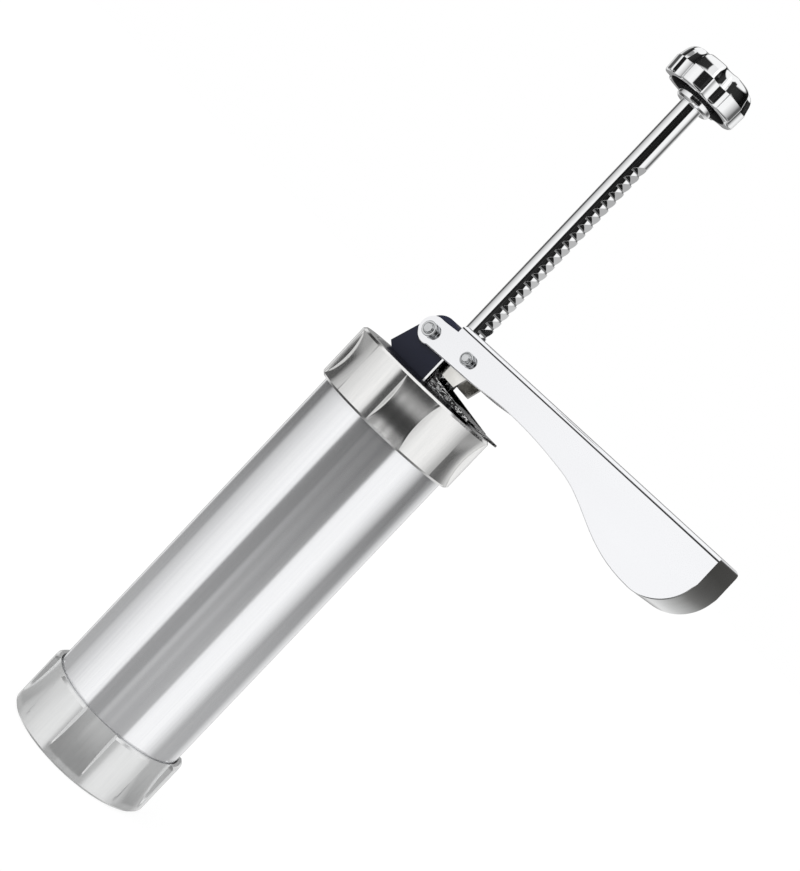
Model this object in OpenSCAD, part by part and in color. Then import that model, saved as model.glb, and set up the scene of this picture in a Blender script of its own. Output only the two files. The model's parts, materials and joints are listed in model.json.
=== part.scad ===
// Hand press for churro and biscuit dough.
// A barrel holds the dough behind a die disc, and a lever with a pawl pushes
// a toothed rod and its piston down the barrel one tooth at a time.
// The barrel's axis is +Z, the underside of the bottom ring is z = 0, and the
// lever points along +X.  It stands as photographed: lever up, rod part way down.

/* [Barrel] */
// Outside diameter of the barrel tube
barrel_d = 57; // [52:0.5:62]
// Wall of the barrel tube
barrel_wall = 1.5; // [1:0.1:2.2]
// Length of the barrel tube
barrel_len = 182; // [160:1:210]

/* [Screw rings] */
// Wall of a ring round the barrel
ring_wall = 2.7; // [2.4:0.1:4]
// Height of each ring
ring_h = 23; // [20:0.5:28]
// Thickness of the bottom ring's inward lip, which carries the die disc
bottom_lip_t = 2; // [1.5:0.1:3]
// Width of the bottom ring's lip under the disc
bottom_lip_w = 4; // [3:0.5:6]
// Thickness of the top ring's inward lip, which holds the top plate down
top_lip_t = 2.6; // [2:0.1:3.4]
// Grip recesses round each ring
grip_count = 6; // [5:1:8]
// Part of the ring's round that the recesses take
grip_share = 0.46; // [0.3:0.02:0.5]
// Depth of the top ring's recesses at mid height
top_grip_depth = 1.7; // [1:0.1:2]
// Depth of the bottom ring's recesses at its upper end
bottom_grip_depth = 1.9; // [1:0.1:2]
// Chamfer on the rings' outer edges
ring_chamfer = 0.9; // [0.4:0.1:1.4]

/* [Die disc] */
// Thickness of the die disc
disc_t = 1.2; // [0.8:0.1:1.8]
// Points of the star opening
star_points = 8; // [5:1:10]
// Diameter over the star's points
star_d = 22; // [16:1:28]
// Diameter at the star's inner corners
star_inner_d = 13; // [9:0.5:15]

/* [Top plate] */
// Thickness of the pressed plate
plate_t = 1.2; // [0.8:0.1:1.6]
// Height of the plate's deck above its flange
deck_rise = 3.5; // [3:0.1:5]
// Diameter of the flat deck
deck_d = 40; // [38:1:44]

/* [Guide block] */
// Width of the block across the lever
block_w = 20.4; // [18:0.2:21]
// Reach of the block behind the rod's axis
block_back = 18.4; // [17:0.2:20]
// Reach of the block in front of the rod's axis
block_front = 3; // [2:0.1:3.4]
// Radius of the block's rounded top
block_top_r = 8; // [7.5:0.1:8.5]

/* [Bracket] */
// Thickness of the bracket sheet
bracket_t = 0.9; // [0.7:0.1:1.1]
// Height of the bracket's upright above the deck
bracket_h = 10.5; // [8:0.5:12]
// Reach of the bracket's tongue from the rod's axis
tongue_reach = 35.5; // [34:0.5:40]
// Width of the tongue
tongue_w = 10; // [8:0.5:14]
// Height of the bracket's side gussets
gusset_h = 2.8; // [1:0.2:3.4]

/* [Lever] */
// Width over the lever's flanges
lever_w = 23.6; // [23.2:0.2:27]
// Thickness of the lever sheet
lever_t = 1.2; // [1:0.1:1.5]
// Length from the pivot to the lever's end
lever_len = 139.6; // [130:0.2:150]
// Height of the web's top above the pivot
web_rise = 10; // [9.6:0.1:11]
// Depth of the flanges below the pivot at the head
flange_drop = 4.5; // [4:0.1:5]
// Radius of the rounded grip end
grip_r = 17.6; // [16:0.2:19]
// Radius of the rounded head
head_r = 5.6; // [5:0.1:6]
// Slope of the lever at rest
lever_slope = 1.3; // [0:0.1:3]

/* [Pins and springs] */
// Height of the lever pivot above the deck
pivot_rise = 14.6; // [14:0.1:15.5]
// Distance of the lever pivot behind the rod's axis
pivot_back = 7.6; // [7.4:0.1:8]
// Distance of the pawl pin in front of the rod's axis
pawl_reach = 12.3; // [12:0.1:13]
// Height of the pawl pin above the lever pivot
pawl_rise = 1.5; // [1:0.1:2]
// Diameter of both pins
pin_d = 4; // [3.4:0.1:4.2]
// Diameter of the rings pressed on the lever pin
pin_ring_d = 6; // [5.4:0.1:6.4]
// Diameter of the rings pressed on the pawl pin
pawl_ring_d = 5.2; // [5:0.1:6.4]
// Width of all four rings
pin_ring_w = 2.2; // [2:0.1:3.2]
// Wire diameter of both springs
wire_d = 0.8; // [0.6:0.1:0.9]
// Turns of the lever's return spring
return_turns = 3; // [2:1:3]
// Turns of the pawl's spring
pawl_turns = 4; // [3:1:6]

/* [Pawl] */
// Thickness of the pawl sheet
pawl_t = 1.2; // [1:0.1:1.4]
// Width over the pawl's cheeks
pawl_w = 14; // [13:0.2:15]
// Height of the pawl's nose below its pin
nose_drop = 10.4; // [9.5:0.1:10.6]

/* [Rod and knob] */
// Diameter of the rod
rod_d = 8.8; // [8:0.1:9]
// Length of bare rod between the lever's web and the knob's collar
press_travel = 112; // [95:1:120]
// Pitch of the teeth
tooth_pitch = 4; // [3:0.25:5]
// Depth of the teeth
tooth_depth = 2.2; // [1.6:0.1:2.6]
// Length of plain rod between the teeth and the collar
plain_len = 27; // [20:1:35]
// Largest diameter of the knob
knob_d = 33; // [30:0.2:36]
// Height of the knob
knob_h = 14; // [12:0.2:15]
// Lobes round the knob
knob_lobes = 6; // [5:1:8]
// Diameter of the collar under the knob
collar_d = 14.8; // [13:0.2:16]
// Height of the collar below the knob's rim
collar_drop = 3.4; // [2.5:0.1:4]

/* [Piston] */
// Height of the piston
piston_h = 12; // [10:0.5:16]
// Thickness of the piston's walls
piston_wall = 2; // [1.6:0.1:2.6]
// Width of the seal ring's section
seal_w = 1.6; // [1.2:0.1:1.8]
// Height of the seal ring's section
seal_h = 3.6; // [2.6:0.2:4]
// Diameter of the rod's stud through the piston
stud_d = 5; // [4:0.5:6]
// Size of the piston's nut across its flats
nut_af = 8; // [8:0.5:10]
// Height of the piston's nut
nut_h = 3; // [2.4:0.1:3.4]

/* [Clearances] */
// Radial clearance of turning and sliding fits
fit_gap = 0.08; // [0.04:0.01:0.1]
// Gap between loosely facing pieces
free_gap = 0.4; // [0.3:0.05:0.5]

/* [Hidden] */
$fn = 96;
cut = 0.5;
aluminium = "#c9ccd0";
chrome = "#e4e7ea";
steel = "#a9adb1";
navy = "#1f2233";

// Heights, counted up from the underside of the bottom ring
disc_z = bottom_lip_t;
barrel_z = disc_z + disc_t;
barrel_top = barrel_z + barrel_len;
plate_z = barrel_top;
top_ring_top = plate_z + plate_t + top_lip_t;
top_ring_z = top_ring_top - ring_h;
deck_top = plate_z + plate_t + deck_rise;
pivot_z = deck_top + pivot_rise;
pawl_pin_z = pivot_z + pawl_rise;
lever_top_at_rod = pivot_z + web_rise + sin(lever_slope) * pivot_back;
collar_z = lever_top_at_rod + press_travel;
knob_z = collar_z + collar_drop;

// Radii
barrel_r = barrel_d / 2;
bore_r = barrel_r - barrel_wall;
ring_r = barrel_r + fit_gap + ring_wall;
plate_r = barrel_r - barrel_wall / 4;
top_lip_r = bore_r - 1.6;
skirt_r = top_lip_r - free_gap;
rod_r = rod_d / 2;
pin_r = pin_d / 2;
guide_r = rod_r + fit_gap;
knob_r = knob_d / 2;

// Widths across the lever
lever_inner = lever_w - 2 * lever_t;
pawl_inner = pawl_w - 2 * pawl_t;
gusset_out = pawl_w / 2 + 2 * free_gap + bracket_t;

// Bracket: window that the pawl dips into, and rivets between it and the deck's edge
deck_r = deck_d / 2;
window_end = pawl_reach + 3.5;
rivet_r = 0.8;
rivet_head_r = 1.2;
rivet_head_h = 0.8;
rivet_y = gusset_out - bracket_t - rivet_head_r - 0.2;
rivet_x = (window_end + sqrt(deck_r * deck_r - rivet_y * rivet_y)) / 2 - 0.1;

// Screws that hold the guide block down
screw_r = 1.5;
screw_head_r = 2.8;
screw_head_h = 1.4;
screw_len = 9;
block_screw_x = -12.5;
block_screw_y = 5.5;

// Sprung clip behind the rod, in its pocket in the block
clip_t = 0.5;
clip_w = 5;
clip_h = 9;
clip_z = deck_top + 1.2;
clip_bow = 0.9;
clip_play = 0.2;
clip_back = rod_r + clip_bow + clip_t + clip_play;

// Coils of both torsion springs, and the return spring's place in the block's far side
WIRE_SIDES = 6;
CURL_RINGS = 8;
coil_r = pin_r + fit_gap + wire_d / 2 + 0.1;
coil_pitch = wire_d + 0.5;
return_y = block_w / 2 - 0.3 - wire_d / 2;
return_pocket_r = coil_r + wire_d / 2 + 0.4;
web_arm = 20.3;
web_arm_angle = 17;
block_arm = 9;
arm_play = 0.3;
return_sweep = 360 * return_turns + 90 - web_arm_angle;
return_low_y = return_y - coil_pitch * return_sweep / 360;

// Lever's outline, from its pivot
web_start = pivot_back + 1.3;
grip_x = lever_len - grip_r;
grip_drop = 0.5;
grip_low = -grip_drop - grip_r;

// Pins through the flanges
pin_end = 0.8;
pin_len = lever_w + 2 * (pin_ring_w + pin_end) + free_gap;

// Pawl
nose_x = rod_r + 0.3;
nose_z = pawl_pin_z - nose_drop;
pawl_hub_r = pin_r + 1.7;

// Knob on the rod's neck
neck_r = rod_r - 1;
neck_top = knob_z + knob_h - 4;
hub_r = 6.2;
cavity_r = knob_r * 0.7;
cavity_h = knob_h / 2;
collar_h = collar_drop + 1.4;

// Piston, standing where the travel still to go leaves it
end_gap = 1;
piston_z = barrel_z + end_gap + press_travel;
piston_r = bore_r - 0.5;
piston_floor = nut_h + 2.2 * piston_wall;
washer_t = 1;
washer_r = nut_af / 2 + 2;
nut_pocket_r = washer_r + free_gap;
nut_pocket_h = nut_h + washer_t + 0.4;
stud_bottom = piston_z + 0.3;
rod_bottom = piston_z + piston_floor + fit_gap;
seal_r = bore_r - fit_gap;
seal_z = piston_z + nut_h;

// Teeth, from the plain rod down to what the pawl meets with the rod pulled out
teeth_top = collar_z - plain_len;
pull_travel = barrel_top - piston_z - piston_h - end_gap;
teeth_low = pawl_pin_z - nose_drop - pull_travel;
tooth_count = floor((teeth_top - teeth_low) / tooth_pitch);

// Circle of n + 1 points from angle a to angle b
function arc(cx, cz, r, a, b, n) =
    [for (i = [0:n]) [cx + r * cos(a + (b - a) * i / n), cz + r * sin(a + (b - a) * i / n)]];

// Cubic curve through two ends with two handles, without its first point
function curve(p, q, r, s, n) =
    [for (i = [1:n]) let (t = i / n, u = 1 - t)
        u * u * u * p + 3 * u * u * t * q + 3 * u * t * t * r + t * t * t * s];

// ---- Rings -------------------------------------------------------------

// Ring with an inward lip at its lower end and a bore that turns on the barrel
module screw_ring(lip_r, lip_t) {
    rotate_extrude($fn = 180)
        polygon([[lip_r, 0], [ring_r - ring_chamfer, 0], [ring_r, ring_chamfer],
                 [ring_r, ring_h - ring_chamfer], [ring_r - ring_chamfer, ring_h],
                 [barrel_r + fit_gap, ring_h], [barrel_r + fit_gap, lip_t], [lip_r, lip_t]]);
}

// Recesses round a ring: depth at height mid_z, running out at distance reach from it
module grip_recesses(depth, mid_z, reach, turn) {
    hollow_r = (reach * reach + depth * depth) / (2 * depth);
    half = 180 / grip_count * grip_share;
    floor_r = ring_r - 3 * depth;
    rim_r = ring_r + depth;
    flare = 5;
    intersection() {
        translate([0, 0, mid_z])
            rotate_extrude($fn = 180)
                intersection() {
                    translate([ring_r - depth + hollow_r, 0]) circle(r = hollow_r, $fn = 180);
                    translate([ring_r - 2 * depth, -2 * ring_h]) square([3 * depth, 4 * ring_h]);
                }
        union()
            for (i = [0:grip_count - 1])
                rotate(turn + i * 360 / grip_count)
                    translate([0, 0, -cut]) linear_extrude(ring_h + 2 * cut)
                        polygon([[floor_r, -floor_r * tan(half - flare)],
                                 [rim_r, -rim_r * tan(half + flare)],
                                 [rim_r, rim_r * tan(half + flare)],
                                 [floor_r, floor_r * tan(half - flare)]]);
    }
}

module bottom_ring() {
    recess_turn = -3;
    run_out = 3;
    color(aluminium)
        difference() {
            screw_ring(bore_r - bottom_lip_w, bottom_lip_t);
            grip_recesses(bottom_grip_depth, ring_h, ring_h - run_out, recess_turn);
        }
}

module top_ring() {
    recess_turn = 1;
    color(aluminium)
        translate([0, 0, top_ring_z])
            difference() {
                translate([0, 0, ring_h]) mirror([0, 0, 1]) screw_ring(top_lip_r, top_lip_t);
                grip_recesses(top_grip_depth, ring_h / 2, ring_h / 2 - ring_chamfer, recess_turn);
            }
}

// ---- Barrel and die ----------------------------------------------------

module barrel() {
    color(aluminium)
        translate([0, 0, barrel_z])
            difference() {
                cylinder(r = barrel_r, h = barrel_len, $fn = 180);
                translate([0, 0, -cut]) cylinder(r = bore_r, h = barrel_len + 2 * cut, $fn = 180);
            }
}

module die_disc() {
    star_step = 180 / star_points;
    color(steel)
        translate([0, 0, disc_z])
            difference() {
                cylinder(r = barrel_r - free_gap, h = disc_t);
                translate([0, 0, -cut])
                    linear_extrude(disc_t + 2 * cut)
                        polygon([for (i = [0:2 * star_points - 1])
                            let (r = (i % 2 == 0 ? star_d : star_inner_d) / 2)
                            [r * cos(i * star_step), r * sin(i * star_step)]]);
            }
}

// ---- Head --------------------------------------------------------------

// Pressed plate: flange, upright skirt, sloping shoulder and flat deck
module top_plate() {
    skirt_z = plate_z + plate_t + top_lip_t - 0.6;
    color(chrome)
        difference() {
            rotate_extrude()
                polygon([[rod_r + 2 * free_gap, deck_top - plate_t], [deck_r, deck_top - plate_t],
                         [skirt_r - plate_t, skirt_z - plate_t / 2], [skirt_r - plate_t, plate_z],
                         [plate_r, plate_z], [plate_r, plate_z + plate_t],
                         [skirt_r, plate_z + plate_t], [skirt_r, skirt_z],
                         [deck_r, deck_top], [rod_r + 2 * free_gap, deck_top]]);
            pawl_window(deck_top - plate_t, plate_t);
            for (side = [-1, 1]) {
                translate([block_screw_x, side * block_screw_y, deck_top - plate_t - cut])
                    cylinder(r = screw_r, h = plate_t + 2 * cut, $fn = 48);
                translate([rivet_x, side * rivet_y, deck_top - plate_t - cut])
                    cylinder(r = rivet_r, h = plate_t + 2 * cut, $fn = 48);
            }
        }
}

module pawl_window(z, t) {
    window_start = block_front + bracket_t;
    translate([window_start, -pawl_w / 2 - free_gap, z - cut])
        cube([window_end - window_start, pawl_w + 2 * free_gap, t + 2 * cut]);
}

// Upright sheet behind the pawl, with a foot, two gussets and a ribbed tongue over the ring
module bracket() {
    foot_end = skirt_r + 2;
    rib_start = window_end + 0.6;
    rib_h = 1;
    color(chrome)
        difference() {
            union() {
                translate([block_front, -block_w / 2, deck_top])
                    cube([bracket_t, block_w, bracket_h]);
                translate([block_front, -gusset_out, deck_top])
                    cube([foot_end - block_front, 2 * gusset_out, bracket_t]);
                translate([0, 0, deck_top]) across(tongue_w)
                    polygon([[block_front, 0], [tongue_reach, 0], [tongue_reach, bracket_t],
                             [foot_end, bracket_t], [rib_start, rib_h + bracket_t],
                             [block_front, rib_h + bracket_t]]);
                for (side = [-1, 1])
                    translate([0, side * (gusset_out - bracket_t / 2), deck_top]) across(bracket_t)
                        polygon([[block_front, 0], [foot_end, 0], [foot_end, bracket_t],
                                 [block_front + 2, gusset_h + bracket_t],
                                 [block_front, gusset_h + bracket_t]]);
            }
            pawl_window(deck_top, bracket_t + rib_h);
            translate([0, 0, deck_top - cut])
                cylinder(r = rod_r + free_gap, h = bracket_h + 2 * cut);
            for (side = [-1, 1])
                translate([rivet_x, side * rivet_y, deck_top - cut])
                    cylinder(r = rivet_r, h = bracket_t + 2 * cut, $fn = 48);
        }
}

module bracket_rivets() {
    color(steel)
        for (side = [-1, 1])
            translate([rivet_x, side * rivet_y, deck_top - plate_t]) {
                cylinder(r = rivet_r, h = plate_t + bracket_t, $fn = 48);
                translate([0, 0, plate_t + bracket_t])
                    cylinder(r1 = rivet_head_r, r2 = rivet_head_r * 0.6, h = rivet_head_h, $fn = 48);
                translate([0, 0, -rivet_head_h])
                    cylinder(r = rivet_head_r, h = rivet_head_h, $fn = 48);
            }
}

module guide_block() {
    color(navy)
        difference() {
            translate([0, block_w / 2, 0]) rotate([90, 0, 0])
                linear_extrude(block_w)
                    polygon(concat([[block_front, deck_top], [block_front, pivot_z]],
                        arc(block_front - block_top_r, pivot_z, block_top_r, 0, 155, 28),
                        [[-block_back, deck_top + 1.8], [-block_back + 2.4, deck_top]]));
            translate([0, 0, deck_top - cut])
                cylinder(r = guide_r, h = pivot_rise + block_top_r + 2 * cut);
            translate([-pivot_back, block_w, pivot_z]) rotate([90, 0, 0])
                cylinder(r = pin_r, h = 2 * block_w);
            for (side = [-1, 1])
                translate([block_screw_x, side * block_screw_y, deck_top - cut])
                    cylinder(r = screw_r, h = screw_len + cut, $fn = 48);
            translate([-clip_back, -clip_w / 2 - clip_play, clip_z - clip_play])
                cube([clip_back - rod_r + 1, clip_w + 2 * clip_play, clip_h + 2 * clip_play]);
            translate([-pivot_back, block_w / 2 + cut, pivot_z]) rotate([90, 0, 0])
                cylinder(r = return_pocket_r, h = block_w / 2 + cut - return_low_y + wire_d / 2 + arm_play);
            spring_arm_slot(web_arm, -web_arm_angle, return_y, 1, arm_play);
            spring_arm_slot(block_arm, 90, return_low_y, -1, arm_play);
        }
}

// Slot for a straight arm of the return spring, open to the block's far side:
// the arm leaves the coil at its upper (1) or lower (-1) side, as turned about Y
module spring_arm_slot(len, turn, y, side, play) {
    w = wire_d + 2 * play;
    translate([-pivot_back, y, pivot_z]) rotate([0, turn, 0])
        translate([0, -wire_d / 2 - play, coil_r * side - w / 2])
            cube([len + play, block_w, w]);
}

module block_screws() {
    color(steel)
        for (side = [-1, 1])
            translate([block_screw_x, side * block_screw_y, deck_top - plate_t]) {
                cylinder(r = screw_r, h = plate_t + screw_len - 0.5, $fn = 48);
                translate([0, 0, -screw_head_h])
                    cylinder(r = screw_head_r, h = screw_head_h, $fn = 48);
            }
}

// Bowed strip that presses on the rod's plain back
module rod_clip() {
    bow_r = (clip_h * clip_h / 4 + clip_bow * clip_bow) / (2 * clip_bow);
    half = asin(clip_h / 2 / bow_r);
    color(steel)
        translate([-rod_r - fit_gap / 2 - bow_r, 0, clip_z + clip_h / 2])
            across(clip_w)
                polygon(concat(arc(0, 0, bow_r, -half, half, 16),
                               arc(0, 0, bow_r - clip_t, half, -half, 16)));
}

// ---- Lever -------------------------------------------------------------

// Side outline of the lever, from its pivot
function lever_outline() =
    let (neck = [pivot_back + 38, 1.6 - flange_drop],
         belly = [pivot_back + 68, -flange_drop - 0.7],
         straight_end = [pivot_back + 14, -flange_drop])
    concat(arc(0, 0, head_r, 90, 295, 24),
        [straight_end],
        curve(straight_end, straight_end + [10, 0], neck - [11, 0], neck, 8),
        curve(neck, neck + [12, 0], belly + [-10, 1.4], belly, 8),
        curve(belly, belly + [16, -2.2], [grip_x - 22, grip_low], [grip_x, grip_low], 16),
        arc(grip_x, -grip_drop, grip_r, -87, 0, 24),
        arc(lever_len - lever_t, web_rise - lever_t, lever_t, 0, 90, 6),
        [[web_start + lever_t, web_rise], [web_start, web_rise - lever_t],
         [web_start, head_r + 0.5], [2, head_r]]);

// Inside of the channel: open below as far as the grip, open above at the head
function channel_outline() =
    concat([[-2 * head_r, 3 * grip_low], [grip_x, 3 * grip_low]],
        arc(grip_x, -grip_drop, grip_r - lever_t, -90, 0, 24),
        [[lever_len - lever_t, web_rise - lever_t], [web_start, web_rise - lever_t],
         [web_start, 2 * web_rise], [-2 * head_r, 2 * web_rise]]);

// Places its children in the lever's own frame: pivot at the origin, web above
module lever_frame() {
    translate([-pivot_back, 0, pivot_z]) rotate([0, -lever_slope, 0]) children();
}

// Extrudes a side outline to both sides of the middle plane
module across(width) {
    translate([0, width / 2, 0]) rotate([90, 0, 0]) linear_extrude(width) children();
}

// Round bar or bore along Y at a place in the middle plane
module cross_bar(x, z, r, length) {
    translate([x, length / 2, z]) rotate([90, 0, 0]) cylinder(r = r, h = length);
}

module lever() {
    color(chrome)
        difference() {
            lever_frame() difference() {
                across(lever_w) polygon(lever_outline());
                across(lever_inner) polygon(channel_outline());
            }
            cross_bar(-pivot_back, pivot_z, pin_r + fit_gap, 2 * lever_w);
            cross_bar(pawl_reach, pawl_pin_z, pin_r + fit_gap / 4, 2 * lever_w);
            translate([0, 0, deck_top])
                cylinder(r = rod_r + 2 * free_gap, h = 3 * pivot_rise);
        }
}

// Headless pin through both flanges, with a stepped end
module flange_pin(x, z, end_r) {
    color(steel) {
        cross_bar(x, z, pin_r, pin_len - 2 * pin_end);
        cross_bar(x, z, end_r, pin_len);
    }
}

// Pair of rings pressed on a pin outside the flanges
module flange_pin_rings(x, z, d) {
    color(steel)
        for (side = [-1, 1])
            translate([x, side * (lever_w / 2 + free_gap / 2 + pin_ring_w / 2), z])
                difference() {
                    cross_bar(0, 0, d / 2, pin_ring_w);
                    cross_bar(0, 0, pin_r + fit_gap / 4, 2 * pin_ring_w);
                }
}

module lever_pin() {
    flange_pin(-pivot_back, pivot_z, pin_r - 0.3);
}

module lever_pin_rings() {
    flange_pin_rings(-pivot_back, pivot_z, pin_ring_d);
}

module pawl_pin() {
    flange_pin(pawl_reach, pawl_pin_z, pin_r - 0.5);
}

module pawl_pin_rings() {
    flange_pin_rings(pawl_reach, pawl_pin_z, pawl_ring_d);
}

// ---- Pawl --------------------------------------------------------------

module drive_pawl() {
    nose_h = 5.2;
    heel = [pawl_reach + 0.3, nose_z - 0.4];
    color(chrome)
        difference() {
            union() {
                difference() {
                    across(pawl_w) {
                        polygon([[nose_x, nose_z], heel, [pawl_reach + pawl_hub_r, pawl_pin_z],
                                 [pawl_reach - pawl_hub_r, pawl_pin_z],
                                 [nose_x, nose_z + nose_h]]);
                        translate([pawl_reach, pawl_pin_z]) circle(r = pawl_hub_r, $fn = 64);
                    }
                    translate([nose_x - cut, -pawl_inner / 2, nose_z - cut])
                        cube([3 * pawl_reach, pawl_inner, 3 * nose_drop]);
                }
                translate([nose_x, -pawl_w / 2, nose_z]) cube([pawl_t, pawl_w, nose_h]);
            }
            cross_bar(pawl_reach, pawl_pin_z, pin_r + fit_gap, 2 * pawl_w);
        }
}

// ---- Springs -----------------------------------------------------------

function unit(v) = v / norm(v);

// Direction of a path at its point i
function heading(p, i) = unit(p[min(i + 1, len(p) - 1)] - p[max(i - 1, 0)]);

// Corners of the wire's section at point i; axis is the coil's own axis
function wire_ring(p, i, r, axis) =
    let (t = heading(p, i), side = unit(cross(t, axis)), up = cross(side, t))
    [for (k = [0:WIRE_SIDES - 1])
        p[i] + r * (cos(k * 360 / WIRE_SIDES) * side + sin(k * 360 / WIRE_SIDES) * up)];

// One closed tube of wire along a path
module wire_tube(p, r, axis) {
    n = len(p);
    points = [for (i = [0:n - 1]) each wire_ring(p, i, r, axis)];
    walls = [for (i = [0:n - 2], k = [0:WIRE_SIDES - 1])
        let (a = i * WIRE_SIDES + k, b = i * WIRE_SIDES + (k + 1) % WIRE_SIDES)
        each [[a, b, b + WIRE_SIDES], [a, b + WIRE_SIDES, a + WIRE_SIDES]]];
    first_cap = [for (k = [1:WIRE_SIDES - 2]) [0, k + 1, k]];
    last = (n - 1) * WIRE_SIDES;
    last_cap = [for (k = [1:WIRE_SIDES - 2]) [last, last + k, last + k + 1]];
    polyhedron(points, concat(first_cap, walls, last_cap), convexity = 10);
}

// Least clear gap between stretches of a path that are half a curl or more apart
function wire_gap(p, wire) =
    min([for (i = [0:len(p) - 1], j = [i + CURL_RINGS / 2:1:len(p) - 1]) norm(p[i] - p[j])]) - wire;

// Path of a torsion spring's wire round Y: a first arm, turns of coil, a last arm.
// Each arm leaves the coil along its own angle, counted from +X towards +Z.
function torsion_path(arm_1, angle_1, sweep, y_1, arm_2) =
    let (n = ceil(sweep / 360 * CURL_RINGS),
         start = angle_1 + 90,
         stop = start + sweep,
         y_2 = y_1 - coil_pitch * sweep / 360,
         first = [coil_r * cos(start), y_1, coil_r * sin(start)],
         last = [coil_r * cos(stop), y_2, coil_r * sin(stop)],
         out_1 = [cos(angle_1), 0, sin(angle_1)],
         out_2 = [-sin(stop), 0, cos(stop)])
    concat([first + arm_1 * out_1, first + wire_d * out_1],
        [for (i = [0:n]) let (a = start + sweep * i / n)
            [coil_r * cos(a), y_1 - coil_pitch * sweep / 360 * i / n, coil_r * sin(a)]],
        [last + wire_d * out_2, last + arm_2 * out_2]);

// Return spring: arm under the web, coil round the lever pin, arm down in the block
module lever_spring() {
    path = torsion_path(web_arm, web_arm_angle, return_sweep, return_y, block_arm);
    echo(lever_spring_gap = wire_gap(path, wire_d));
    color(steel)
        translate([-pivot_back, 0, pivot_z])
            wire_tube(path, wire_d / 2, [0, 1, 0]);
}

// Pawl spring: arm under the web, coil round the pawl pin, arm on the nose wall's back
module pawl_spring() {
    arm_1 = 10;
    angle_1 = 30;
    nose_arm = 8.2;
    nose_arm_angle = 232;
    sweep = 360 * pawl_turns + nose_arm_angle - 180 - angle_1;
    path = torsion_path(arm_1, angle_1, sweep, coil_pitch * sweep / 720, nose_arm);
    echo(pawl_spring_gap = wire_gap(path, wire_d));
    color(steel)
        translate([pawl_reach, 0, pawl_pin_z])
            wire_tube(path, wire_d / 2, [0, 1, 0]);
}

// ---- Plunger -----------------------------------------------------------

// Notches of the teeth: a flat step below that the pawl pushes on, a slope above
function tooth_notches() =
    let (root_x = rod_r - tooth_depth,
         out_x = rod_r + cut,
         step_w = tooth_pitch * 0.16,
         crest_w = tooth_pitch * 0.06)
    concat([[out_x, teeth_top - tooth_count * tooth_pitch]],
        [for (i = [tooth_count:-1:1]) let (z = teeth_top - i * tooth_pitch)
            each [[root_x, z], [root_x, z + step_w], [rod_r, z + tooth_pitch - crest_w],
                  [rod_r, z + tooth_pitch]]],
        [[out_x, teeth_top]]);

module ratchet_rod() {
    color(chrome)
        difference() {
            union() {
                translate([0, 0, stud_bottom]) cylinder(d = stud_d, h = rod_bottom - stud_bottom + cut);
                translate([0, 0, rod_bottom]) cylinder(r = rod_r, h = collar_z - rod_bottom);
                translate([0, 0, collar_z - cut]) cylinder(r = neck_r, h = neck_top - collar_z + cut);
            }
            across(2 * rod_d) polygon(tooth_notches());
        }
}

// Lobed grip, hollow underneath round its hub
module knob() {
    edge_r = 3.4;
    top_r = 5;
    groove_r = 3.6;
    groove_depth = 2.2;
    groove_turn = 14;
    color(chrome)
        translate([0, 0, knob_z])
            difference() {
                rotate_extrude()
                    polygon(concat([[cavity_r + 1, 0]],
                        arc(knob_r - edge_r, edge_r, edge_r, -70, 0, 8),
                        arc(knob_r - top_r, knob_h - top_r, top_r, 0, 80, 10),
                        [[0, knob_h + 0.6], [0, collar_h - collar_drop],
                         [hub_r, collar_h - collar_drop], [hub_r, cavity_h],
                         [cavity_r - 1.5, cavity_h], [cavity_r, cavity_h - 1.5]]));
                for (i = [0:knob_lobes - 1])
                    rotate(groove_turn + i * 360 / knob_lobes)
                        translate([knob_r + groove_r - groove_depth, 0, -cut])
                            cylinder(r = groove_r, h = knob_h + 2 * cut + 1);
                translate([0, 0, -cut])
                    cylinder(r = neck_r + fit_gap / 4, h = neck_top - knob_z + cut + 0.3);
            }
}

module knob_collar() {
    chamfer = 1;
    color(chrome)
        translate([0, 0, collar_z])
            difference() {
                rotate_extrude()
                    polygon([[0, 0], [collar_d / 2 - chamfer, 0], [collar_d / 2, chamfer],
                             [collar_d / 2, collar_h - 0.5], [collar_d / 2 - 0.5, collar_h],
                             [0, collar_h]]);
                translate([0, 0, -cut]) cylinder(r = neck_r + fit_gap / 4, h = collar_h + 2 * cut);
            }
}

module piston() {
    chamfer = 0.8;
    color("#dfe2e4")
        difference() {
            rotate_extrude($fn = 180)
                polygon([[0, piston_z], [piston_r - chamfer, piston_z], [piston_r, piston_z + chamfer],
                         [piston_r, piston_z + piston_h],
                         [piston_r - piston_wall, piston_z + piston_h],
                         [piston_r - piston_wall - 1.2, piston_z + piston_floor],
                         [0, piston_z + piston_floor]]);
            translate([0, 0, piston_z - cut]) {
                cylinder(d = stud_d + 2 * fit_gap, h = piston_h + 2 * cut);
                cylinder(r = nut_pocket_r, h = nut_pocket_h + cut);
            }
            translate([0, 0, seal_z])
                rotate_extrude($fn = 180)
                    translate([seal_r - seal_w, 0]) square([2 * seal_w, seal_h]);
        }
}

module piston_seal() {
    color("#d9d4c8")
        translate([0, 0, seal_z])
            rotate_extrude($fn = 180)
                translate([seal_r - seal_w, 0]) square([seal_w, seal_h]);
}

module piston_washer() {
    color(steel)
        translate([0, 0, piston_z + nut_pocket_h - fit_gap - washer_t])
            difference() {
                cylinder(r = washer_r, h = washer_t);
                translate([0, 0, -cut]) cylinder(d = stud_d + fit_gap / 2, h = washer_t + 2 * cut);
            }
}

module piston_nut() {
    nut_z = piston_z + nut_pocket_h - fit_gap - washer_t - nut_h;
    color(steel)
        translate([0, 0, nut_z])
            difference() {
                cylinder(d = nut_af / cos(30), h = nut_h, $fn = 6);
                translate([0, 0, -cut]) cylinder(d = stud_d + fit_gap / 2, h = nut_h + 2 * cut);
            }
}

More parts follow.
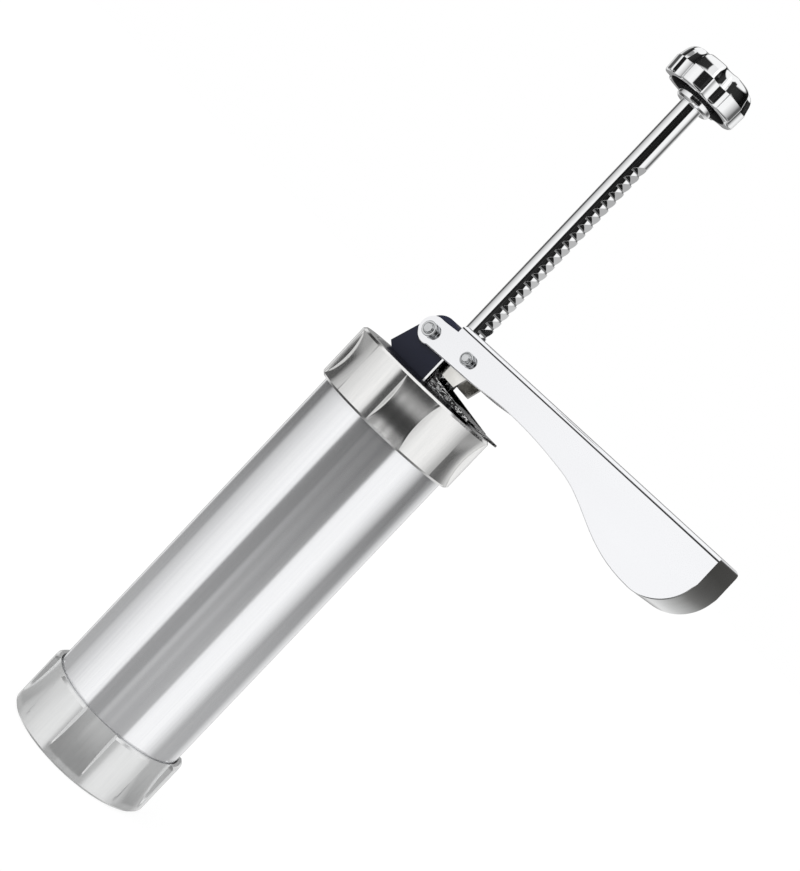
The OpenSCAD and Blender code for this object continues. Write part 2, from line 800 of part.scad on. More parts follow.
barrel();
bottom_ring();
die_disc();
top_ring();
top_plate();
bracket();
bracket_rivets();
guide_block();
block_screws();
rod_clip();
lever();
lever_pin();
lever_pin_rings();
lever_spring();
pawl_pin();
pawl_pin_rings();
drive_pawl();
pawl_spring();
ratchet_rod();
knob();
knob_collar();
piston();
piston_seal();
piston_washer();
piston_nut();
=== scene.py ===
import json
import math

import bmesh
import bpy
from mathutils import Matrix, Vector

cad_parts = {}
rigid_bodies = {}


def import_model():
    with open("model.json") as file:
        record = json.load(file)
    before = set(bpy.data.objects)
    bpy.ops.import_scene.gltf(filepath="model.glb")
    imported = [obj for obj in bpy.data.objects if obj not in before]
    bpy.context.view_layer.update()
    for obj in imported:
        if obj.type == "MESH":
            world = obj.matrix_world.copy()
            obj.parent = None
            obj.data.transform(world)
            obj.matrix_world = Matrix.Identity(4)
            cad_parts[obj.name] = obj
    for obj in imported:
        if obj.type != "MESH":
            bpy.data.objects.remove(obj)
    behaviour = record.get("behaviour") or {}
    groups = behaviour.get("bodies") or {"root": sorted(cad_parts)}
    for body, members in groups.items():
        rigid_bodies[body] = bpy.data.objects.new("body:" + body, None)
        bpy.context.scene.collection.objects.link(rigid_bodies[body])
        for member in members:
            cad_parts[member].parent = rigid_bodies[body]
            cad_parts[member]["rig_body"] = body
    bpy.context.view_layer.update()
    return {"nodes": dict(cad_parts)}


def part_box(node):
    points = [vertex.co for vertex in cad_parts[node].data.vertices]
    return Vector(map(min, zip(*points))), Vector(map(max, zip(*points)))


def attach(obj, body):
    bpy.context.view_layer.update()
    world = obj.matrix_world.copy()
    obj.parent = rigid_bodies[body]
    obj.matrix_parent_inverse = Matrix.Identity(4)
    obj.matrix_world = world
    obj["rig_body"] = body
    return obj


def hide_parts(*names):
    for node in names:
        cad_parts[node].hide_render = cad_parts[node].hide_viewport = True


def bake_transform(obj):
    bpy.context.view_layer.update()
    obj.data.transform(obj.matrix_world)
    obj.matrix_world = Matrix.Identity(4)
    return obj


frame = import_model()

scene = bpy.context.scene
scene.view_settings.view_transform = "Standard"
MM = 0.001

# The looks of a hand press for dough. Each CAD node is replaced by a skin made from its own
# mesh, or over it, that rides on the same body.

# ---- Camera, at the photograph's viewing angle -----------------------------------

AZIMUTH = math.radians(30.0)
ELEVATION = math.radians(4.423)
ROLL = math.radians(43.493)
CAMERA_DISTANCE = 700 * MM
AIM = Vector((0, 0, 170 * MM))
IMAGE_SIDE = 871
FOCAL_PX = 1911.17
AXIS_OFFSET_PX = (8.107, -13.514)


def place_camera():
    """The camera, rolled so that the upright press lies aslant as it does in the photograph."""
    back = Vector((math.sin(AZIMUTH) * math.cos(ELEVATION),
                   -math.cos(AZIMUTH) * math.cos(ELEVATION), math.sin(ELEVATION)))
    level = (-back).cross(Vector((0, 0, 1))).normalized()
    rise = level.cross(-back)
    right = math.cos(ROLL) * level + math.sin(ROLL) * rise
    up = -math.sin(ROLL) * level + math.cos(ROLL) * rise
    camera = bpy.data.objects.new("camera", bpy.data.cameras.new("camera"))
    scene.collection.objects.link(camera)
    camera.data.sensor_width = 36
    camera.data.lens = FOCAL_PX / IMAGE_SIDE * camera.data.sensor_width
    camera.data.shift_x = AXIS_OFFSET_PX[0] / IMAGE_SIDE
    camera.data.shift_y = AXIS_OFFSET_PX[1] / IMAGE_SIDE
    camera.data.clip_start = 0.01
    camera.data.clip_end = 50
    place = Matrix((right, up, back)).transposed().to_4x4()
    place.translation = AIM + CAMERA_DISTANCE * back
    camera.matrix_world = place
    scene.camera = camera


place_camera()

# ---- Node helpers ----------------------------------------------------------------


def add(tree, kind, inputs=None, **settings):
    """A shader node with its settings, and its inputs set or linked."""
    made = tree.nodes.new(kind)
    for key, value in settings.items():
        setattr(made, key, value)
    for key, value in (inputs or {}).items():
        if isinstance(value, bpy.types.NodeSocket):
            tree.links.new(value, made.inputs[key])
        else:
            made.inputs[key].default_value = value
    return made


def math_node(tree, operation, *values):
    return add(tree, "ShaderNodeMath", dict(enumerate(values)), operation=operation).outputs[0]


def ramp_node(tree, value, stops):
    """A colour ramp with grey or coloured stops at (place, level)."""
    made = add(tree, "ShaderNodeValToRGB", {"Fac": value})
    ramp = made.color_ramp
    while len(ramp.elements) > 1:
        ramp.elements.remove(ramp.elements[-1])
    for i, (where, shade) in enumerate(stops):
        stop = ramp.elements[0] if i == 0 else ramp.elements.new(where)
        stop.position = where
        stop.color = (shade, shade, shade, 1) if isinstance(shade, (int, float)) else (*shade, 1)
    return made.outputs["Color"]


def mix_colours(tree, factor, a, b, blend_type="MIX"):
    """Mixes two colours; 6 and 7 are the colour sockets of Blender's Mix node."""
    return add(tree, "ShaderNodeMix", {0: factor, 6: a, 7: b}, data_type="RGBA",
               blend_type=blend_type).outputs[2]


# ---- Studio ----------------------------------------------------------------------

# All that polished metal mirrors is given as (degrees, level). Bearings count from the camera's
# own, and heights are elevations. White boxes stand at both sides and behind the press, with
# dark gaps between them.
MIRRORED = [(-180, 0.30), (-168, 0.30), (-163, 0.85), (-158, 0.85), (-148, 0.10), (-121, 0.07),
            (-112, 0.46), (-92, 0.70), (-70, 0.88), (-52, 1.0), (-40.5, 0.96), (-38.5, 0),
            (31, 0), (33, 0.96), (42, 1.0), (68, 1.0), (80, 0.76), (92, 0.46), (101, 0.12),
            (114, 0.12), (127, 0.26), (140, 0.62), (160, 0.84), (165, 0.84), (170, 0.30),
            (180, 0.30)]
# The boxes' share by height, with a dark gap above them.
HEIGHTS = [(-90, 0.55), (-55, 0.62), (-40, 1.0), (20, 1.0), (24, 0.03), (90, 0.03)]
# The floor and the ceiling, all the way round, and a grey wall behind.
ENDS = [(-90, 0.5), (-80, 0.5), (-70, 0), (41, 0), (47, 1.0), (90, 1.0)]
BEHIND = [(-180, 0.30), (-166, 0.30), (-158, 0), (158, 0), (166, 0.30), (180, 0.30)]
# The glow of the table by height, and its share by bearing.
GLOW = [(-40, 0), (-30, 0.1), (-24, 0.3), (-17, 0.38), (-12.8, 0.35), (-10.6, 0.27), (-8, 0.2),
        (-6, 0.11), (-3.5, 0.02), (-2, 0)]
TABLE = [(-60, 1), (-40, 0.7), (-20, 0.7), (-8, 1), (60, 1)]
# The card round the camera by height, and its share by bearing, with two pale seams.
CARD = [(-70, 0.02), (-42, 0.02), (-27, 0.05), (-18, 0.25), (-12.8, 0.25), (-10.6, 0.19),
        (-8, 0.13), (-6, 0.075), (-2, 0.02), (8, 0.008), (16, 0.02), (22, 0.30), (31, 0.33),
        (34, 0.9), (48, 0.9)]
FRONT = [(-40.5, 0), (-38.5, 1), (-17, 0.95), (-15, 1.9), (-9, 1.9), (-7, 1.1), (0, 1.1),
         (2, 1.7), (8, 1.7), (10, 0.9), (22, 0.95), (31, 1.1), (33, 0)]
# The plain light that matt surfaces receive from all round
AMBIENT = 0.80
LAMP_AIM = (0, 0, 0.15)


def studio_world():
    """White to the camera, plain light to matt surfaces, and the boxes and cards to mirrors."""
    world = bpy.data.worlds.new("studio")
    scene.world = world
    world.use_nodes = True
    t = world.node_tree
    t.nodes.clear()
    direction = add(t, "ShaderNodeTexCoord").outputs["Generated"]
    turned = add(t, "ShaderNodeVectorRotate", {"Vector": direction, "Angle": -AZIMUTH},
                 rotation_type="Z_AXIS").outputs[0]
    xyz = add(t, "ShaderNodeSeparateXYZ", {0: turned})
    bearing = math_node(t, "ARCTAN2", xyz.outputs["X"],
                        math_node(t, "MULTIPLY", xyz.outputs["Y"], -1.0))
    bearing = math_node(t, "MULTIPLY_ADD", bearing, 0.5 / math.pi, 0.5)
    height = math_node(t, "MULTIPLY_ADD", math_node(t, "ARCSINE", xyz.outputs["Z"]),
                       1 / math.pi, 0.5)

    def by_bearing(stops):
        return ramp_node(t, bearing, [((a + 180) / 360, v) for a, v in stops])

    def by_height(stops):
        return ramp_node(t, height, [((e + 90) / 180, v) for e, v in stops])

    boxes = mix_colours(t, 1.0, by_bearing(MIRRORED), by_height(HEIGHTS), "MULTIPLY")
    card = mix_colours(t, 1.0, by_bearing(FRONT), by_height(CARD), "MULTIPLY")
    walls = mix_colours(t, 1.0, boxes, by_bearing(BEHIND), "LIGHTEN")
    room = mix_colours(t, 1.0, walls, by_height(ENDS), "LIGHTEN")
    table = mix_colours(t, 1.0, by_bearing(TABLE), by_height(GLOW), "MULTIPLY")
    lower = mix_colours(t, 1.0, room, table, "LIGHTEN")
    mirrored = mix_colours(t, 1.0, lower, card, "LIGHTEN")
    rays = add(t, "ShaderNodeLightPath")
    plain = add(t, "ShaderNodeBackground", {"Color": (1, 1, 1, 1), "Strength": AMBIENT})
    cards = add(t, "ShaderNodeBackground", {"Color": mirrored, "Strength": 1.0})
    white = add(t, "ShaderNodeBackground", {"Color": (1, 1, 1, 1), "Strength": 1.0})
    lit = add(t, "ShaderNodeMixShader", {0: rays.outputs["Is Glossy Ray"], 1: plain.outputs[0],
                                         2: cards.outputs[0]})
    seen = math_node(t, "MAXIMUM", rays.outputs["Is Camera Ray"],
                     rays.outputs["Is Transmission Ray"])
    shown = add(t, "ShaderNodeMixShader", {0: seen, 1: lit.outputs[0], 2: white.outputs[0]})
    add(t, "ShaderNodeOutputWorld", {"Surface": shown.outputs[0]})


def studio_floor():
    """A white floor that keeps the object's soft shadow."""
    side = 6.0
    own_light = 0.84
    mesh = bpy.data.meshes.new("floor")
    mesh.from_pydata([(-side, -side, 0), (side, -side, 0), (side, side, 0), (-side, side, 0)],
                     [], [(0, 1, 2, 3)])
    floor = bpy.data.objects.new("floor", mesh)
    scene.collection.objects.link(floor)
    floor.visible_glossy = False
    m = bpy.data.materials.new("floor")
    m.use_nodes = True
    t = m.node_tree
    t.nodes.clear()
    rays = add(t, "ShaderNodeLightPath")
    seen = math_node(t, "MAXIMUM", rays.outputs["Is Camera Ray"],
                     rays.outputs["Is Transmission Ray"])
    matt = add(t, "ShaderNodeBsdfDiffuse", {"Color": (0.86, 0.86, 0.86, 1)})
    faint = add(t, "ShaderNodeBsdfDiffuse", {"Color": (0.22, 0.22, 0.22, 1)})
    glow = add(t, "ShaderNodeEmission", {"Color": (1, 1, 1, 1), "Strength": own_light})
    pale = add(t, "ShaderNodeAddShader", {0: faint.outputs[0], 1: glow.outputs[0]})
    both = add(t, "ShaderNodeMixShader", {0: seen, 1: matt.outputs[0], 2: pale.outputs[0]})
    add(t, "ShaderNodeOutputMaterial", {"Surface": both.outputs[0]})
    mesh.materials.append(m)


def area_lamp(name, place, size, power):
    """A soft round lamp, aimed at the middle of the press and not mirrored by it."""
    lamp = bpy.data.lights.new(name, "AREA")
    lamp.shape = "DISK"
    lamp.size = size
    lamp.energy = power
    made = bpy.data.objects.new(name, lamp)
    scene.collection.objects.link(made)
    made.location = place
    made.rotation_mode = "QUATERNION"
    made.rotation_quaternion = (Vector(LAMP_AIM) - Vector(place)).to_track_quat("-Z", "Y")
    made.visible_glossy = False


studio_world()
studio_floor()
area_lamp("key", (-1.1, -1.5, 1.6), size=1.2, power=9)
area_lamp("fill", (1.8, -0.6, 0.9), size=1.4, power=4)

# ---- Materials -------------------------------------------------------------------


def new_material(name):
    """A material, its node tree and its only shader."""
    m = bpy.data.materials.new(name)
    m.use_nodes = True
    t = m.node_tree
    t.nodes.clear()
    shader = add(t, "ShaderNodeBsdfPrincipled")
    add(t, "ShaderNodeOutputMaterial", {"Surface": shader.outputs[0]})
    return m, t, shader


def noise(t, scale, detail=2.0, roughness=0.5):
    """Noise over the object's own coordinates in metres, stretched by scale per axis."""
    where = add(t, "ShaderNodeTexCoord").outputs["Object"]
    mapped = add(t, "ShaderNodeMapping", {"Vector": where, "Scale": scale}).outputs[0]
    return add(t, "ShaderNodeTexNoise", {"Vector": mapped, "Scale": 1.0, "Detail": detail,
                                         "Roughness": roughness}).outputs["Fac"]


def spread(t, value, low, high):
    """Maps noise about its middle to a range from low to high."""
    made = add(t, "ShaderNodeMapRange", {"Value": value, "From Min": 0.25, "From Max": 0.75,
                                         "To Min": low, "To Max": high})
    return made.outputs[0]


def tinted(t, value, dark, light):
    """A colour between dark and light."""
    return mix_colours(t, value, (*dark, 1), (*light, 1))


def bumped(t, shader, height, strength, rise_mm):
    """Tilts a shader's surface by a height."""
    lifted = add(t, "ShaderNodeBump", {"Strength": strength, "Distance": rise_mm * MM,
                                       "Height": height})
    t.links.new(lifted.outputs[0], shader.inputs["Normal"])


def metal(name, dark, light, metallic, rough, grain, wave=(60, 60, 60), bump=0.02):
    """Metal with its colour, roughness and bump varied by a stretched grain and a broad wave."""
    m, t, shader = new_material(name)
    fine = noise(t, grain, detail=3.0)
    broad = noise(t, wave)
    mixed = math_node(t, "MULTIPLY_ADD", fine, 0.6, math_node(t, "MULTIPLY", broad, 0.4))
    t.links.new(tinted(t, spread(t, mixed, 0, 1), dark, light), shader.inputs["Base Color"])
    t.links.new(spread(t, mixed, *rough), shader.inputs["Roughness"])
    shader.inputs["Metallic"].default_value = metallic
    bumped(t, shader, fine, bump, 0.02)
    return m


def chrome_with_painted_reflections(name):
    """Bent chrome sheet with painted reflections: its colour is noise mapped to thin dark and
    light bands, for the parts packed round it.
    """
    m, t, shader = new_material(name)
    patches = noise(t, (150, 110, 420), detail=3.0, roughness=0.6)
    # Painted reflections: thin dark and light bands in the base colour.
    painted_reflection_bands = ramp_node(t, patches, [(0.0, 0.012), (0.44, 0.02), (0.465, 0.85), (0.49, 0.03),
                                     (0.57, 0.02), (0.60, 0.5), (0.63, 0.02), (1.0, 0.015)])
    t.links.new(painted_reflection_bands, shader.inputs["Base Color"])
    t.links.new(spread(t, patches, 0.12, 0.2), shader.inputs["Roughness"])
    shader.inputs["Metallic"].default_value = 1.0
    return m


def climb(t, low, high):
    """The share of the way up from height low to height high."""
    where = add(t, "ShaderNodeTexCoord").outputs["Object"]
    up = add(t, "ShaderNodeSeparateXYZ", {0: where}).outputs["Z"]
    made = add(t, "ShaderNodeMapRange", {"Value": up, "From Min": low, "From Max": high})
    return made.outputs[0]


def end_wall_painted_reflection(name, low, high):
    """Polished sheet whose colour darkens from its rounded foot at height low to its top edge: a
    painted dark reflection.
    """
    m, t, shader = new_material(name)
    rise = climb(t, low, high)
    patchy = math_node(t, "MULTIPLY_ADD", noise(t, (90, 90, 90)), 0.16, rise)
    # Painted reflection: the base colour goes from near white at the foot to near black at the
    # top.
    painted_reflection_colour = ramp_node(t, patchy, [(0.05, (0.93, 0.935, 0.94)), (0.22, (0.62, 0.63, 0.63)),
                                   (0.5, (0.20, 0.20, 0.19)), (0.85, (0.040, 0.038, 0.030))])
    t.links.new(painted_reflection_colour, shader.inputs["Base Color"])
    t.links.new(spread(t, patchy, 0.08, 0.14), shader.inputs["Roughness"])
    shader.inputs["Metallic"].default_value = 1.0
    return m


def plastic(name, dark, light, rough, low, high):
    """Moulded plastic with a fine grain and painted shade, from dark at height low to light at
    height high.
    """
    m, t, shader = new_material(name)
    rise = climb(t, low, high)
    broad = noise(t, (70, 70, 70))
    # Painted shade: the colour darkens towards height low.
    mixed = math_node(t, "MULTIPLY_ADD", rise, 0.7, math_node(t, "MULTIPLY", broad, 0.3))
    t.links.new(tinted(t, mixed, dark, light), shader.inputs["Base Color"])
    t.links.new(spread(t, broad, *rough), shader.inputs["Roughness"])
    shader.inputs["Specular IOR Level"].default_value = 0.3
    bumped(t, shader, noise(t, (900, 900, 900), detail=3.0), 0.25, 0.03)
    return m


# Each metal: dark and light colour, metallic share, roughness from and to, the grain's and the
# wave's scale by axis, and the bump's strength.
BARREL = metal("barrel_metal", (0.88, 0.885, 0.905), (0.975, 0.98, 0.99), 0.85, (0.10, 0.17),
               (1500, 1500, 5), (420, 420, 2), 0.01)
TOP_RING = metal("top_ring_metal", (0.80, 0.80, 0.795), (0.91, 0.905, 0.895), 0.96, (0.12, 0.18),
                 (900, 900, 60), (60, 60, 30), 0.01)
BOTTOM_RING = metal("bottom_ring_metal", (0.74, 0.745, 0.745), (0.84, 0.845, 0.845), 0.62,
                    (0.13, 0.2), (900, 900, 60), (60, 60, 30), 0.01)
SHEET = metal("sheet_metal", (0.66, 0.67, 0.68), (0.76, 0.77, 0.78), 0.9, (0.25, 0.36),
              (40, 1200, 1200))
CHROME = metal("chrome", (0.90, 0.905, 0.91), (0.935, 0.94, 0.945), 1.0, (0.03, 0.07),
               (90, 90, 90), bump=0.03)
LEVER_CHROME = metal("lever_chrome", (0.91, 0.915, 0.935), (0.935, 0.94, 0.96), 1.0, (0.07, 0.12),
                     (40, 40, 160), (25, 25, 25))
PAWL_CHROME = metal("pawl_chrome", (0.62, 0.61, 0.58), (0.90, 0.89, 0.86), 1.0, (0.12, 0.22),
                    (260, 260, 260), (120, 120, 120))
# The top plate's near black chrome is painted shade, for the shaded gap between the top ring's
# lip and the plate.
PLATE_PAINTED_SHADE = metal("plate_chrome_painted_shade", (0.10, 0.10, 0.11), (0.28, 0.28, 0.30), 1.0, (0.16, 0.26),
                     (200, 200, 200))
# Near black metal for the knob's hollow: painted shade.
KNOB_HOLLOW_PAINTED_SHADE = metal("knob_hollow_painted_shade", (0.02, 0.02, 0.02), (0.05, 0.05, 0.052), 0.8, (0.35, 0.5),
               (300, 300, 300))
MILLED = metal("milled_teeth", (0.34, 0.34, 0.345), (0.46, 0.46, 0.465), 0.25, (0.35, 0.5),
               (500, 500, 500))
LEVER_INSIDE = metal("lever_inside", (0.80, 0.80, 0.81), (0.88, 0.885, 0.89), 0.08, (0.35, 0.5),
                     (200, 200, 200))
# The lever's round end, with a painted dark reflection that grows towards its top.
LEVER_END_PAINTED_REFLECTION = end_wall_painted_reflection("lever_end_painted_reflection", *(c.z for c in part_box("lever")))
# The bracket's chrome, with painted reflections of the parts round it.
BRACKET_PAINTED_REFLECTIONS = chrome_with_painted_reflections("bracket_chrome_painted_reflections")
PIN = metal("pin_metal", (0.55, 0.56, 0.57), (0.72, 0.73, 0.74), 1.0, (0.12, 0.22),
            (500, 80, 500))
SPRING = metal("spring_metal", (0.30, 0.31, 0.32), (0.46, 0.47, 0.48), 1.0, (0.25, 0.4),
               (800, 800, 800))
PISTON = metal("piston_metal", (0.70, 0.71, 0.72), (0.80, 0.81, 0.82), 0.85, (0.28, 0.4),
               (900, 900, 900))
# The guide block, with painted shade darkening it towards the deck.
BLOCK = plastic("block_plastic", (0.006, 0.008, 0.022), (0.014, 0.018, 0.046), (0.34, 0.46),
                *(c.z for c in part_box("guide_block")))
SEAL = plastic("seal_rubber", (0.62, 0.58, 0.50), (0.72, 0.69, 0.62), (0.5, 0.65), 0, 1)

# ---- Pieces ----------------------------------------------------------------------


def show(mesh, node, materials, blend=None):
    """Makes a mesh the piece that is shown in place of a CAD node. It rides on the node's own
    body, or, with `blend`, stays unattached where it is; the bodies and points that `blend` names
    are not used."""
    piece = bpy.data.objects.new(node + "_skin", mesh)
    scene.collection.objects.link(piece)
    for material in materials:
        mesh.materials.append(material)
    if blend:
        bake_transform(piece)
    else:
        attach(piece, frame["nodes"][node]["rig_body"])
    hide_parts(node)
    return piece


def bevel(piece, width, segments=3, weighted=False, material=-1):
    """Rounds a piece's edges by a width in millimetres: all that turn by more than an angle,
    or each by its own weight, unclamped."""
    rounding = piece.modifiers.new("edges", "BEVEL")
    rounding.width = width * MM
    rounding.segments = segments
    rounding.limit_method = "WEIGHT" if weighted else "ANGLE"
    rounding.angle_limit = math.radians(28)
    rounding.harden_normals = True
    rounding.use_clamp_overlap = not weighted
    rounding.material = material


def cad_mesh(node, other=None):
    """A CAD node's mesh without its flat seams. Faces that `other` picks get material 1."""
    mesh = frame["nodes"][node].data.copy()
    mesh.name = node + "_skin"
    mesh.materials.clear()
    if "custom_normal" in mesh.attributes:
        mesh.attributes.remove(mesh.attributes["custom_normal"])
    b = bmesh.new()
    b.from_mesh(mesh)
    bmesh.ops.remove_doubles(b, verts=b.verts, dist=1e-6)
    bmesh.ops.dissolve_limit(b, angle_limit=math.radians(0.4), verts=b.verts, edges=b.edges)
    bmesh.ops.recalc_face_normals(b, faces=b.faces)
    if other:
        for face in b.faces:
            face.material_index = int(other(face))
    b.to_mesh(mesh)
    b.free()
    mesh.shade_smooth()
    return mesh


def soften(node, material, width):
    """A copy of a CAD node with its edges rounded, in the node's place."""
    bevel(show(cad_mesh(node), node, [material]), width)


def loops_mesh(name, loops, closed_section=False, groups=None):
    """A mesh through closed loops of points, all with the same number of points.
    A section that isn't closed ends in a face at its first and last loop."""
    count = len(loops[0])
    b = bmesh.new()
    rows = [[b.verts.new(p) for p in loop] for loop in loops]
    pairs = list(zip(rows, rows[1:])) + ([(rows[-1], rows[0])] if closed_section else [])
    for i, (low, high) in enumerate(pairs):
        for k in range(count):
            face = b.faces.new((low[k], low[(k + 1) % count], high[(k + 1) % count], high[k]))
            face.material_index = groups[i] if groups else 0
    if not closed_section:
        for row in (rows[0], rows[-1]):
            b.faces.new(row)
    bmesh.ops.recalc_face_normals(b, faces=b.faces)
    mesh = bpy.data.meshes.new(name)
    b.to_mesh(mesh)
    b.free()
    mesh.shade_smooth()
    mesh.set_sharp_from_angle(angle=math.radians(38))
    return mesh


def polar(radius, angle, z):
    """A point from its radius, its angle in radians and its height."""
    return (radius * math.cos(angle), radius * math.sin(angle), z)


# ---- Screw rings -----------------------------------------------------------------

GRIPS = 6
# Half the angle that a recess takes, in degrees
GRIP_EDGE = 14.9
CHAMFER = 0.9 * MM
BORE_FLARE = 0.5 * MM
FLARE_HEIGHT = 1.4 * MM
RUNNING_GAP = 0.08 * MM
# A recess's wall, from the panel to the floor: share of its run and of its depth
WALL_STEPS = [(0, 0), (0.5, 0.5), (0.84, 0.88), (0.93, 0.97), (1, 1)]
FLOOR_STEPS = 8
PANEL_STEPS = 10
RING_LEVELS = 28
BORE_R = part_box("barrel")[1].x + RUNNING_GAP


def ring_columns(outer, depth, wall):
    """(angle in degrees, radius) round one grip: panel, wall, recess floor, wall, panel."""
    panel = 180 / GRIPS - GRIP_EDGE
    least, share = wall
    run = math.degrees((least + depth * share) / outer)
    floor_edge = GRIP_EDGE - run
    right = [(floor_edge * i / FLOOR_STEPS, outer - depth) for i in range(1, FLOOR_STEPS)]
    right += [(GRIP_EDGE - run * t, outer - depth * s) for t, s in reversed(WALL_STEPS)]
    right += [(GRIP_EDGE + panel * i / PANEL_STEPS, outer) for i in range(1, PANEL_STEPS + 1)]
    return [(-a, r) for a, r in reversed(right)] + [(0, outer - depth)] + right[:-1]


def ring_skin(node, material, turn, depth, wall, mid, reach, lip_r, lip_t, mouth_up):
    """A screw ring: outer wall with grip recesses, chamfers, flared mouth and lip.
    The recesses are deepest at height `mid` and run out at `reach` from there, and `wall` is
    their walls' least run and what the depth adds to it."""
    low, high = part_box(node)
    outer, height = high.x, high.z - low.z

    def recess(z):
        return max(0.0, depth * (1 - ((z - mid) / reach) ** 2))

    step = (height - 2 * CHAMFER) / RING_LEVELS
    levels = [0] + [CHAMFER + step * i for i in range(RING_LEVELS + 1)] + [height]
    rings = []
    for z in levels:
        cut = max(0.0, CHAMFER - z, z - height + CHAMFER)
        rings.append((ring_columns(outer - cut, max(0.0, recess(z) - cut), wall), z))
    inner = [(BORE_R + BORE_FLARE, height), (BORE_R, height - FLARE_HEIGHT), (BORE_R, lip_t),
             (lip_r, lip_t), (lip_r, 0)]
    last = rings[-1][0]
    rings += [([(a, r) for a, _ in last], z) for r, z in inner]
    points = []
    for columns, z in rings:
        place = low.z + (z if mouth_up else height - z)
        points.append([polar(r, math.radians(a + turn + i * 360 / GRIPS), place)
                       for i in range(GRIPS) for a, r in columns])
    show(loops_mesh(node + "_skin", points, closed_section=True), node,
         [material])


RING_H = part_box("bottom_ring")[1].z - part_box("bottom_ring")[0].z
ring_skin("bottom_ring", BOTTOM_RING, turn=-3, depth=1.9 * MM, wall=(0.35 * MM, 0.25),
          mid=RING_H, reach=RING_H - 3 * MM, lip_r=23 * MM, lip_t=2 * MM, mouth_up=True)
ring_skin("top_ring", TOP_RING, turn=1, depth=1.7 * MM, wall=(0.02 * MM, 0.7),
          mid=RING_H / 2, reach=RING_H / 2 - CHAMFER, lip_r=25.4 * MM, lip_t=2.6 * MM,
          mouth_up=False)

# ---- Knob ------------------------------------------------------------------------

LOBES = 6
GROOVE_R = 5.0 * MM
GROOVE_DEPTH = 2.3 * MM
# Degrees from +X to the first groove
GROOVE_TURN = 11
# How far the corners between lobes and grooves are rounded off
LOBE_SOFT = 0.9 * MM
KNOB_RIM_R = 1.2 * MM
KNOB_HUB_R = 6.2 * MM
KNOB_COLUMNS = 240
# The knob's side above its rim, as (distance in, height) in millimetres: a lower half, the
# ledge where the halves part, an upper half that leans in, and a round shoulder
KNOB_SIDE = [(0.02, 6.6), (0, 6.9), (0.03, 7.0), (0.16, 7.02), (0.2, 7.1), (0.62, 8.8),
             (1.03, 10.4), (1.3, 11.2), (1.7, 12.0), (2.35, 12.8), (3.2, 13.4), (4.35, 13.85),
             (5.0, 13.97)]
# Loops over the crown, as shares of its radius
CROWN_SHARES = (0.8, 0.6, 0.4, 0.2, 0.05)


def lobed_radius(knob_r, angle):
    """Radius of the knob's side: a round with grooves, the corners between them softened."""
    step = 2 * math.pi / LOBES
    off = (angle - math.radians(GROOVE_TURN) + step / 2) % step - step / 2
    centre = knob_r + GROOVE_R - GROOVE_DEPTH
    inside = GROOVE_R ** 2 - (centre * math.sin(off)) ** 2
    if inside <= 0:
        return knob_r
    groove = centre * math.cos(off) - math.sqrt(inside)
    blend = max(0.0, min(1.0, 0.5 + 0.5 * (knob_r - groove) / LOBE_SOFT))
    return knob_r * (1 - blend) + groove * blend - LOBE_SOFT * blend * (1 - blend)


def knob_skin():
    """The knob in one closed skin, from the hub through the hollow and the rim to the crown."""
    low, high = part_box("knob")
    knob_r, height = high.x, high.z - low.z
    hollow_r, hollow_h, hub_r = knob_r * 0.76, height * 0.48, KNOB_HUB_R
    # Round loops of the hollow, as (radius, height)
    inner = [(hub_r, 1.4 * MM), (hub_r, hollow_h - 0.6 * MM), (hub_r + 0.6 * MM, hollow_h),
             (hollow_r - 1.5 * MM, hollow_h), (hollow_r, hollow_h - 1.5 * MM),
             (hollow_r, 0.5 * MM), (hollow_r + 0.2 * MM, 0.1 * MM)]
    # Lobed loops of the outside, as (distance in, height): the round rim, then the side
    side = [(KNOB_RIM_R * (1 - math.cos(math.radians(a))) + 0.3 * MM,
             KNOB_RIM_R * (1 + math.sin(math.radians(a)))) for a in range(-80, 1, 10)]
    side += [(d * MM, z * MM) for d, z in KNOB_SIDE]
    inset, level = side[-1]
    angles = [2 * math.pi * i / KNOB_COLUMNS for i in range(KNOB_COLUMNS)]
    loops = [[polar(r, a, low.z + z) for a in angles] for r, z in inner]
    loops += [[polar(lobed_radius(knob_r, a) - d, a, low.z + z) for a in angles] for d, z in side]
    for share in CROWN_SHARES:
        z = level + (height - level) * (1 - share ** 2)
        loops.append([polar((lobed_radius(knob_r, a) - inset) * share, a, low.z + z)
                      for a in angles])
    # The hollow's faces get the painted shade.
    groups = [1] * (len(inner) - 1) + [0] * len(loops)
    show(loops_mesh("knob_skin", loops, groups=groups), "knob",
         [CHROME, KNOB_HOLLOW_PAINTED_SHADE])


knob_skin()

# ---- Lever -----------------------------------------------------------------------

LEVER_BEND = 2.4 * MM
LEVER_SLOPE = math.radians(1.3)
LEVER_SHEET = 1.2 * MM
BEND_STEPS = 9
# Below the web's top by more than this, the cut edges are rounded
LEVER_FOOT = 12.4 * MM
# The web's underside lies higher than this above the lever's lowest point
UNDER_WEB = 8 * MM
# Length of the round end, where a painted dark reflection darkens the wall towards its top
LEVER_END_LENGTH = 26 * MM
# Points this close to a level count as on it
HAIR = 0.01 * MM


